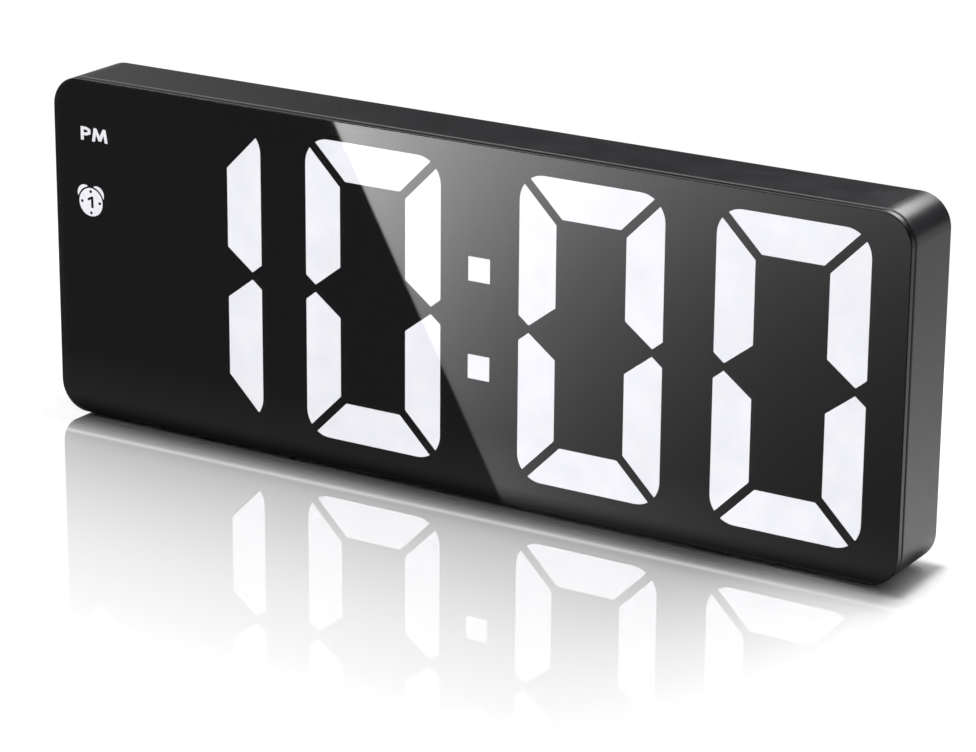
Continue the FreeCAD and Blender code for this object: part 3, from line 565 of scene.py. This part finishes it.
# %% Dress the parts
finish_of = {
    "front_panel": smoked_acrylic,
    "panel_tape": black_tape,
    "housing": case_plastic,
    "rear_cover": case_plastic,
    "cover_screws": screw_steel,
    "board_screws": screw_steel,
    "feet": rubber,
    "hour_tens_segments": lit_window,
    "hour_units_segments": lit_window,
    "minute_tens_segments": lit_window,
    "minute_units_segments": lit_window,
    "colon_windows": lit_window,
    "pm_sign": lit_window,
    "alarm_sign": lit_window,
    "unlit_segments": unlit_window,
    "mask_film": black_film,
    "light_box": box_plastic,
    "segment_leds": led_chip,
    "main_board": circuit_board,
    "clock_chip": chip_plastic,
    "driver_chip": chip_plastic,
    "chip_leads": tinned_metal,
    "watch_crystal": tinned_metal,
    "reservoir_capacitor": tinned_metal,
    "chip_parts": chip_plastic,
    "buzzer": chip_plastic,
    "socket_shell": tinned_metal,
    "socket_tongue": chip_plastic,
    "cell_holder": cap_plastic,
    "cell_side_contact": tinned_metal,
    "cell_spring": tinned_metal,
    "coin_cell": cell_steel,
    "cell_door": case_plastic,
    "key_switches": chip_plastic,
    "mode_switch_body": tinned_metal,
    "mode_slider": cap_plastic,
}
for button in ("set", "alarm", "up", "down"):
    finish_of[button + "_cap"] = cap_plastic
    finish_of[button + "_plunger"] = box_plastic

for name, part in nodes.items():
    part.data.materials.clear()
    part.data.materials.append(finish_of[name])
print("dressed parts:", len(finish_of))

# %% [markdown]
# Small marks on the back
#
# The front carries only its lit digits and signs. The back has more to tell: its buttons and its
# switch are told apart by plain words printed above them, the switch knob has ridges for a
# fingernail, and an arrow moulded on the battery door shows which way a coin opens it. Ridges and
# arrow are both closed tubes with changing cross-sections, so one function builds their meshes:
# it takes the cross-sections as rings of points and closes the first and last ring to a point.

# %% A closed tube from rings
def tube_faces(ring_count, step_count):
    """Corner numbers of a closed tube: four-sided faces between rings, fans at both ends."""
    numbers = np.arange(ring_count * step_count).reshape(ring_count, step_count)
    ahead = np.roll(numbers, -1, axis=1)
    sides = np.stack([numbers[:-1], ahead[:-1], ahead[1:], numbers[1:]], axis=-1).reshape(-1, 4)
    first, last = ring_count * step_count, ring_count * step_count + 1
    start = np.stack([np.full(step_count, first), ahead[0], numbers[0]], axis=-1)
    end = np.stack([np.full(step_count, last), numbers[-1], ahead[-1]], axis=-1)
    return sides.tolist() + start.tolist() + end.tolist()


def add_tubes(name, tubes):
    """One object from several tubes, each an array of rings by steps by three."""
    points, faces = [], []
    for rings in tubes:
        base = sum(len(part) for part in points)
        ends = np.stack([rings[0].mean(axis=0), rings[-1].mean(axis=0)])
        points.append(np.concatenate([rings.reshape(-1, 3), ends]))
        faces += [[base + corner for corner in face] for face in tube_faces(*rings.shape[:2])]
    return add_piece(name, np.concatenate(points), faces)


def add_piece(name, points, faces):
    """An object whose mesh holds the points in place, welded and with its faces outwards."""
    mesh = bpy.data.meshes.new(name)
    mesh.from_pydata(points.tolist(), [], faces)
    work = bmesh.new()
    work.from_mesh(mesh)
    bmesh.ops.remove_doubles(work, verts=work.verts, dist=weld_distance)
    bmesh.ops.recalc_face_normals(work, faces=work.faces)
    work.to_mesh(mesh)
    work.free()
    piece = bpy.data.objects.new(name, mesh)
    bpy.context.scene.collection.objects.link(piece)
    print(name, "faces:", len(mesh.polygons))
    return piece


weld_distance = 1e-7
print("tube helper ready")

# %% Ridges on the switch knob
def ridge_rings(centre, half_width, half_height, half_length, ring_count=15, step_count=12):
    """Half-sunk ridge along Z: an ellipsoid. At angle v along and u around, a point is
    centre + (half_width cos v cos u, half_height cos v sin u, half_length sin v)."""
    nearly_upright = 88.0
    along = np.radians(np.linspace(-nearly_upright, nearly_upright, ring_count))[:, None]
    around = np.linspace(0.0, 2.0 * np.pi, step_count, endpoint=False)[None, :]
    x = half_width * np.cos(along) * np.cos(around)
    y = half_height * np.cos(along) * np.sin(around)
    z = half_length * np.sin(along) * np.ones_like(around)
    return np.stack([x, y, z], axis=-1) + np.array(centre)


ridge_half_width = 0.12 * millimetre
ridge_half_height = 0.11 * millimetre
ridge_half_length = 0.85 * millimetre
ridge_pitch = 0.44 * millimetre
knob_half_width = 1.5 * millimetre
knob_low, knob_high = (np.array(corner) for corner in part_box("mode_slider"))
knob_x = knob_high[0] - knob_half_width
knob_z = (knob_low[2] + knob_high[2]) / 2
ridge_size = (ridge_half_width, ridge_half_height, ridge_half_length)
ridges = [
    ridge_rings((knob_x + step * ridge_pitch, knob_high[1], knob_z), *ridge_size)
    for step in range(-2, 3)
]
knob_ridges = add_tubes("knob_ridges", ridges)
knob_ridges.data.materials.append(cap_plastic)
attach(knob_ridges, "mode_switch")

# %% Arrow on the battery door
def arrow_rings(centre_x, centre_z, base_y, radius, height):
    """Curved arrow: a flat-topped profile carried along an arc. At angle t from upright, a point at
    distance r from the centre is (r sin t, r cos t); the half width grows at the head's start and
    shrinks to nothing at its tip."""
    tail_turn, neck_turn, tip_turn = -52.0, 34.0, 54.0
    shaft_steps, head_steps = 24, 8
    shaft_half, head_half, tip_half = 0.42 * millimetre, 1.25 * millimetre, 0.05 * millimetre
    sunk = 0.05 * millimetre
    chamfer = 0.3 * height
    shaft = np.linspace(tail_turn, neck_turn, shaft_steps)
    head = np.linspace(neck_turn, tip_turn, head_steps)
    turn = np.radians(np.concatenate([shaft, head]))[:, None]
    widening = np.linspace(head_half, tip_half, head_steps)
    half = np.concatenate([np.full(shaft_steps, shaft_half), widening])
    offsets = np.stack([-half, -half + chamfer, half - chamfer, half], axis=-1)
    y = base_y + np.array([-sunk, height, height, -sunk]) * np.ones_like(offsets)
    distance = radius + offsets
    return np.stack(
        [centre_x + distance * np.sin(turn), y, centre_z + distance * np.cos(turn)], axis=-1
    )


door_low, door_high = (np.array(corner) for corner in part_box("cell_door"))
door_centre = (door_low + door_high) / 2
arrow_radius = 8.6 * millimetre
arrow_height = 0.12 * millimetre
arrow = arrow_rings(door_centre[0], door_centre[2], door_high[1], arrow_radius, arrow_height)
door_arrow = add_tubes("door_arrow", [arrow])
door_arrow.data.materials.append(case_plastic)
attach(door_arrow, "battery_door")

# %% Letters as a mesh
def word_points(word, centre_x, centre_z, surface_y):
    """A word as a thin closed layer that is upright to a reader behind the clock. The letters are
    drawn flat, made a mesh, and turned: along the line is -X, up the letter is Z, out is Y."""
    curve = bpy.data.curves.new(word, "FONT")
    curve.body = word
    curve.size = word_height
    curve.extrude = ink_thickness / 2
    curve.align_x = "CENTER"
    curve.resolution_u = 4
    drawing = bpy.data.objects.new(word, curve)
    mesh = bpy.data.meshes.new_from_object(drawing)
    flat = np.empty(len(mesh.vertices) * 3)
    mesh.vertices.foreach_get("co", flat)
    along, up, out = flat.reshape(-1, 3).T
    faces = [list(face.vertices) for face in mesh.polygons]
    bpy.data.objects.remove(drawing)
    bpy.data.meshes.remove(mesh)
    points = np.stack([centre_x - along, surface_y + out, centre_z + up], axis=-1)
    return points, faces


ink_thickness = 0.04 * millimetre
word_height = 2.3 * millimetre
print("letters are", word_height / millimetre, "mm high")

# %% Printed words
word_gap = 2.6 * millimetre
on_offset = -1.4 * millimetre
off_offset = 4.2 * millimetre
rear_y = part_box("rear_cover")[1][1]
word_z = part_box("set_cap")[1][2] + word_gap
caps_of_words = {"SET": "set_cap", "ALARM": "alarm_cap", "UP": "up_cap", "DOWN": "down_cap"}
middles = {
    word: sum(corner[0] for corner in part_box(part)) / 2 for word, part in caps_of_words.items()
}
middles["ON"] = knob_x + on_offset
middles["OFF"] = knob_x + off_offset
points, faces = [], []
for word, middle in middles.items():
    base = sum(len(part) for part in points)
    word_mesh, word_faces = word_points(word, middle, word_z, rear_y)
    points.append(word_mesh)
    faces += [[base + corner for corner in face] for face in word_faces]
rear_words = add_piece("rear_words", np.concatenate(points), faces)
rear_words.data.materials.append(print_ink)
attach(rear_words, "case")

# %% [markdown]
# The floor
#
# The clock stands on a pale, slightly glossy floor. The floor shows a soft mirror picture of the
# clock that fades out towards the reader and at both ends, darker where the face meets the floor as
# painted contact shade, with one fine painted pale line across it. It keeps the clock's shadow and
# has a painted shadow by the case's right end. All of this is worked out from where a spot of the
# floor lies: its x and y, how far ahead of the face it is, and how far from the case's foot. A few
# formulas come back often, so they are helpers.

# %% Formulas of the floor
def add_bell(tree, distance, width):
    """exp(-(distance / width)^2): 1 in the middle and nearly 0 two widths away."""
    squared = add_math(tree, "POWER", add_math(tree, "DIVIDE", distance, width), 2.0)
    return add_math(tree, "EXPONENT", add_math(tree, "MULTIPLY", squared, -1.0))


def add_decay(tree, distance, rate):
    """exp(-rate distance): 1 at the start and ever less further away."""
    return add_math(tree, "EXPONENT", add_math(tree, "MULTIPLY", distance, -rate))


def add_length(tree, first, second):
    """The length of the arrow (first, second), by Pythagoras."""
    square = add_math(tree, "MULTIPLY", second, second)
    return add_math(tree, "SQRT", add_math(tree, "MULTIPLY_ADD", first, first, square))


def add_beyond(tree, value, half_size):
    """How far a value lies outside -half_size to half_size, and 0 inside."""
    beyond = add_math(tree, "SUBTRACT", add_math(tree, "ABSOLUTE", value), half_size)
    return add_math(tree, "MAXIMUM", beyond, 0.0)


def floor_places(tree, place):
    """Where a spot of the floor lies: x, y, how far ahead of the face, how far from the foot."""
    x, y, _ = add_node(tree, "ShaderNodeSeparateXYZ", Vector=place).outputs
    ahead = add_math(tree, "MULTIPLY", add_math(tree, "ADD", y, case_half_depth), -1.0)
    past_end = add_beyond(tree, x, case_half_width)
    past_face = add_beyond(tree, y, case_half_depth)
    return x, y, ahead, add_length(tree, past_end, past_face)


print("floor formulas ready")

# %% Mirror layer of the floor
def mirror_share(tree, x, ahead):
    """How much the floor mirrors. The share falls with the square of the way that is left to
    where the mirror picture ends. It is raised where the face meets the floor, so that the dark face
    mirrored there paints contact shade. It drops by half along a painted pale line, and fades at both
    ends and under the clock."""
    mirror_reach, start_level = 110 * millimetre, 0.74
    painted_contact_width, painted_contact_level = 6.6 * millimetre, 0.36
    line_ahead, line_slope, line_width = 6.85 * millimetre, 0.0146, 0.8 * millimetre
    line_loss = 0.5
    right_slope = -0.46
    way_left = add_range(tree, ahead, 0.0, mirror_reach, start_level, 0.0)
    way_left = add_math(tree, "POWER", way_left, 2.0)
    towards_right = add_range(tree, x, 45 * millimetre, 84 * millimetre, 1.0, 0.36, smooth=True)
    # painted pale line: the floor mirrors less along one line, so its pale matt layer shows through
    from_line = add_math(tree, "SUBTRACT", ahead, line_ahead)
    from_line = add_math(tree, "MULTIPLY_ADD", x, line_slope, from_line)
    painted_pale_line = add_bell(tree, from_line, line_width)
    beside_line = add_math(tree, "MULTIPLY_ADD", painted_pale_line, -line_loss, 1.0)
    fade = add_product(tree, way_left, towards_right, beside_line)
    # painted contact shade: the floor mirrors more right in front of the face, so it turns dark there
    painted_contact_shade = add_bell(tree, ahead, painted_contact_width)
    share = add_math(tree, "MULTIPLY_ADD", painted_contact_shade, painted_contact_level, fade)
    under = add_range(tree, ahead, -50 * millimetre, -14 * millimetre, smooth=True)
    slanted = add_math(tree, "MULTIPLY_ADD", ahead, right_slope, x)
    right_low, right_high = 77.5 * millimetre, 86.5 * millimetre
    right_end = add_range(tree, slanted, right_low, right_high, 1.0, 0.08, smooth=True)
    left_end = add_range(tree, x, -130 * millimetre, -82 * millimetre, smooth=True)
    return add_product(tree, share, under, right_end, left_end)


print("mirror layer ready")

# %% Matt layer of the floor
def floor_colour_with_painted_shadow(tree, x, apart):
    """Pale, with a painted shadow: darker in a narrow band where the case's right end meets the
    floor.
    """
    painted_shadow_reach = 2.7 * millimetre
    # painted shadow: the floor's own colour darkens within a few millimetres of the case's right end
    painted_shadow_near_foot = add_range(tree, apart, 0.0, painted_shadow_reach, 1.0, 0.0, smooth=True)
    painted_shadow_at_right = add_range(tree, x, 60 * millimetre, 80 * millimetre, smooth=True)
    painted_shadow = add_math(tree, "MULTIPLY", painted_shadow_near_foot, painted_shadow_at_right)
    pale, painted_shadow_grey = (0.88, 0.88, 0.88, 1), (0.40, 0.40, 0.40, 1)
    return add_colour_blend(tree, painted_shadow, pale, painted_shadow_grey)


def floor_lift(tree, apart, camera_ray):
    """A little light that only the camera sees, so that the pale floor ends up white. It is
    stronger near the clock, whose shadow would be too heavy, and stops at its foot."""
    lift_everywhere, lift_near, near_rate = 0.16, 0.20, 16.0
    foot_width = 6 * millimetre
    near = add_decay(tree, apart, near_rate)
    lift = add_math(tree, "MULTIPLY_ADD", near, lift_near, lift_everywhere)
    return add_product(tree, lift, add_range(tree, apart, 0.0, foot_width), camera_ray)


print("matt layer ready")

# %% [markdown]
# What the clock mirrors
#
# The face is so glossy that most of its look is what it mirrors, and from a little above it mirrors
# the floor ahead of it. So the floor carries a painted reflection picture that glows only for
# reflected rays: a dark level, and a painted bright panel with one straight slanted edge, which
# draws the slanted edge across the face as a painted reflection. The side wall of the case mirrors
# the floor beside it. The dark level, the panel and the painted glow beside the clock are seen only
# in reflections.

# %% Painted bright panel on the floor, seen only in reflections
def painted_panel_glow(tree, x, y, ahead):
    """Brightness of the painted panel, light that only reflections see, and 0 outside it. Its edge is
    the line through two spots of the floor. With s the distance inwards from that line and a the
    distance ahead of the face, in metres, the glow is exp(s (131 a - 47.3) + a (21.8 - 48 a) - 0.14)."""
    edge_start = np.array([-162.1, -208.8]) * millimetre
    edge_end = np.array([8.1, -9.3]) * millimetre
    edge_softness = 0.6 * millimetre
    furthest_in, furthest_ahead = 0.3, 0.22
    along = (edge_end - edge_start) / np.linalg.norm(edge_end - edge_start)
    inward_x, inward_y = float(along[1]), float(-along[0])
    edge_offset = inward_x * edge_start[0] + inward_y * edge_start[1]
    side = add_math(tree, "MULTIPLY_ADD", x, inward_x, add_math(tree, "MULTIPLY", y, inward_y))
    side = add_math(tree, "SUBTRACT", side, float(edge_offset))
    inside = add_range(tree, side, 0.0, edge_softness)
    s = add_range(tree, side, 0.0, furthest_in, 0.0, furthest_in)
    a = add_range(tree, ahead, 0.0, furthest_ahead, 0.0, furthest_ahead)
    inward_rate = add_math(tree, "MULTIPLY_ADD", a, 131.0, -47.3)
    ahead_rate = add_math(tree, "MULTIPLY_ADD", a, -48.0, 21.8)
    ahead_power = add_math(tree, "MULTIPLY_ADD", a, ahead_rate, -0.14)
    power = add_math(tree, "MULTIPLY_ADD", s, inward_rate, ahead_power)
    return add_math(tree, "MULTIPLY", inside, add_math(tree, "EXPONENT", power))


print("panel ready")

# %% Painted light level of the floor in reflections
def painted_mirrored_level(tree, x, y, ahead, apart):
    """Painted picture of light and shade that a surface mirroring the floor sees: a dark level and
    the painted panel ahead of the face, brighter near it, a painted glow around the right end behind
    the face, and painted shade leaving nearly nothing at the clock's foot."""
    # painted reflection: levels of light that only reflections of the floor see
    painted_dark_level = 0.225
    near_reach, painted_near_gain = 30 * millimetre, 1.8
    painted_foot_shade_reach, painted_foot_shade_level = 10 * millimetre, 0.05
    painted_near_brightening = add_range(tree, ahead, 0.0, near_reach, painted_near_gain, 1.0)
    painted_dark_and_panel = add_math(tree, "ADD", painted_panel_glow(tree, x, y, ahead), painted_dark_level)
    painted_front_picture = add_math(tree, "MULTIPLY", painted_dark_and_panel, painted_near_brightening)
    right_end = 80 * millimetre
    glow_rate, glow_height, glow_everywhere = 10.0, 1.05, 0.45
    from_end = add_length(tree, add_math(tree, "SUBTRACT", x, right_end), y)
    glow = add_math(
        tree, "MULTIPLY_ADD", add_decay(tree, from_end, glow_rate), glow_height, glow_everywhere
    )
    towards_right = add_range(tree, x, -20 * millimetre, 85 * millimetre, 0.05, 1.0, smooth=True)
    painted_glow_behind = add_math(tree, "MULTIPLY", glow, towards_right)
    front_share = add_range(tree, ahead, -4 * millimetre, 2 * millimetre)
    # painted shade: the mirrored floor turns nearly black at the clock's foot
    painted_foot_shade = add_range(tree, apart, 0.0, painted_foot_shade_reach, painted_foot_shade_level, 1.0, smooth=True)
    return add_math(tree, "MULTIPLY", add_value_blend(tree, front_share, painted_glow_behind, painted_front_picture), painted_foot_shade)


print("reflections ready")

# %% Floor finish
def add_glow(tree, level):
    """White light of a given strength, as a shader."""
    return add_node(tree, "ShaderNodeEmission", Color=(1, 1, 1, 1), Strength=level).outputs[0]


def add_shader_blend(tree, share, first, second):
    """Two shaders mixed by a share."""
    node = add_node(tree, "ShaderNodeMixShader", Fac=share)
    for index, shader in ((1, first), (2, second)):
        tree.links.new(shader, node.inputs[index])
    return node.outputs[0]


def make_floor_finish():
    """Matt floor with its lift, the mirror layer over it, and a painted light picture in reflections.
    """
    material, tree, shader, place = start_finish("studio_floor")
    tree.nodes.remove(shader)
    x, y, ahead, apart = floor_places(tree, place)
    ray = tree.nodes.new("ShaderNodeLightPath").outputs
    colour = floor_colour_with_painted_shadow(tree, x, apart)
    matt = add_node(tree, "ShaderNodeBsdfDiffuse", Color=colour).outputs[0]
    lift = add_glow(tree, floor_lift(tree, apart, ray["Is Camera Ray"]))
    pale = tree.nodes.new("ShaderNodeAddShader")
    tree.links.new(matt, pale.inputs[0])
    tree.links.new(lift, pale.inputs[1])
    glossy = add_node(tree, "ShaderNodeBsdfGlossy", Color=(1, 1, 1, 1), Roughness=0.0).outputs[0]
    floor_itself = add_shader_blend(tree, mirror_share(tree, x, ahead), pale.outputs[0], glossy)
    painted_reflection_picture = add_glow(tree, painted_mirrored_level(tree, x, y, ahead, apart))
    whole = add_shader_blend(tree, ray["Is Glossy Ray"], floor_itself, painted_reflection_picture)
    tree.links.new(whole, tree.nodes["Material Output"].inputs["Surface"])
    return material


print("floor finish ready")

# %% Lay the floor
def make_floor_mesh(half_size):
    """A flat square sheet centred under the clock."""
    corners = np.array([(-1, -1, 0), (1, -1, 0), (1, 1, 0), (-1, 1, 0)]) * half_size
    mesh = bpy.data.meshes.new("studio_floor")
    mesh.from_pydata(corners.tolist(), [], [(0, 1, 2, 3)])
    return mesh


floor_half_size = 3.0
floor = bpy.data.objects.new("studio_floor", make_floor_mesh(floor_half_size))
floor.data.materials.append(make_floor_finish())
bpy.context.scene.collection.objects.link(floor)
print("floor laid,", 2 * floor_half_size, "m wide")

# %% [markdown]
# Light
#
# The room is a soft grey dome that the camera, and anything seen straight through or in a sharp
# mirror, gets as plain white. Satin surfaces mirror another room: bright overhead, with a pale band
# low at the left. Two lamps help. A small strip above and behind the right end draws the bright
# line along the rounded corner of the case, and a large soft lamp above the left gives the top of
# the case its even sheen.

# %% Room
def make_room():
    """World light, in three parts by the kind of ray: white for the camera and sharp mirrors, the
    overhead and left bands for satin surfaces, and an even level for all other light."""
    world = bpy.data.worlds.new("studio_room")
    world.use_nodes = True
    tree = world.node_tree
    direction = tree.nodes.new("ShaderNodeTexCoord").outputs["Generated"]
    right, _, up = add_node(tree, "ShaderNodeSeparateXYZ", Vector=direction).outputs
    left_band = add_range(tree, right, -0.78, -0.49, left_band_level, 0.0, smooth=True)
    overhead = add_range(tree, up, 0.50, 0.98, 0.0, overhead_level, smooth=True)
    bands = add_math(tree, "ADD", left_band, overhead)
    ray = tree.nodes.new("ShaderNodeLightPath").outputs
    sharp = ray["Is Singular Ray"]
    blurred = add_math(tree, "SUBTRACT", ray["Is Glossy Ray"], sharp)
    blurred = add_math(tree, "MAXIMUM", blurred, 0.0)
    straight = add_math(tree, "MAXIMUM", ray["Is Camera Ray"], sharp)
    plain = add_value_blend(tree, straight, dome_level, 1.0)
    background = tree.nodes["Background"]
    fill(tree, background.inputs["Strength"], add_value_blend(tree, blurred, plain, bands))
    background.inputs["Color"].default_value = (1, 1, 1, 1)
    world.cycles.sampling_method = "NONE"
    bpy.context.scene.world = world
    return world


dome_level = 0.88
left_band_level = 0.70
overhead_level = 3.4
print("room:", make_room().name)

# %% Lamps
def add_soft_lamp(name, place, aim, size, power):
    """A rectangular soft lamp that faces a point and isn't seen itself."""
    data = bpy.data.lights.new(name, "AREA")
    data.shape = "RECTANGLE"
    data.size, data.size_y = size
    data.energy = power
    lamp = bpy.data.objects.new(name, data)
    lamp.location = place
    lamp.rotation_mode = "QUATERNION"
    lamp.rotation_quaternion = (Vector(aim) - Vector(place)).to_track_quat("-Z", "Y")
    lamp.visible_camera = False
    bpy.context.scene.collection.objects.link(lamp)
    return lamp


corner_lamp = add_soft_lamp(
    "corner_lamp",
    place=(0.080, 0.088, 0.132),
    aim=(0.077, -0.007, 0.058),
    size=(0.06, 0.016),
    power=0.085,
)
overhead_lamp = add_soft_lamp(
    "overhead_lamp", place=(-0.42, -0.08, 0.62), aim=(-0.04, 0.0, 0.03), size=(0.5, 0.5), power=0.75
)
for lamp in (corner_lamp, overhead_lamp):
    print(lamp.name, "at", [round(part, 3) for part in lamp.location], "gives", lamp.data.energy, "W")
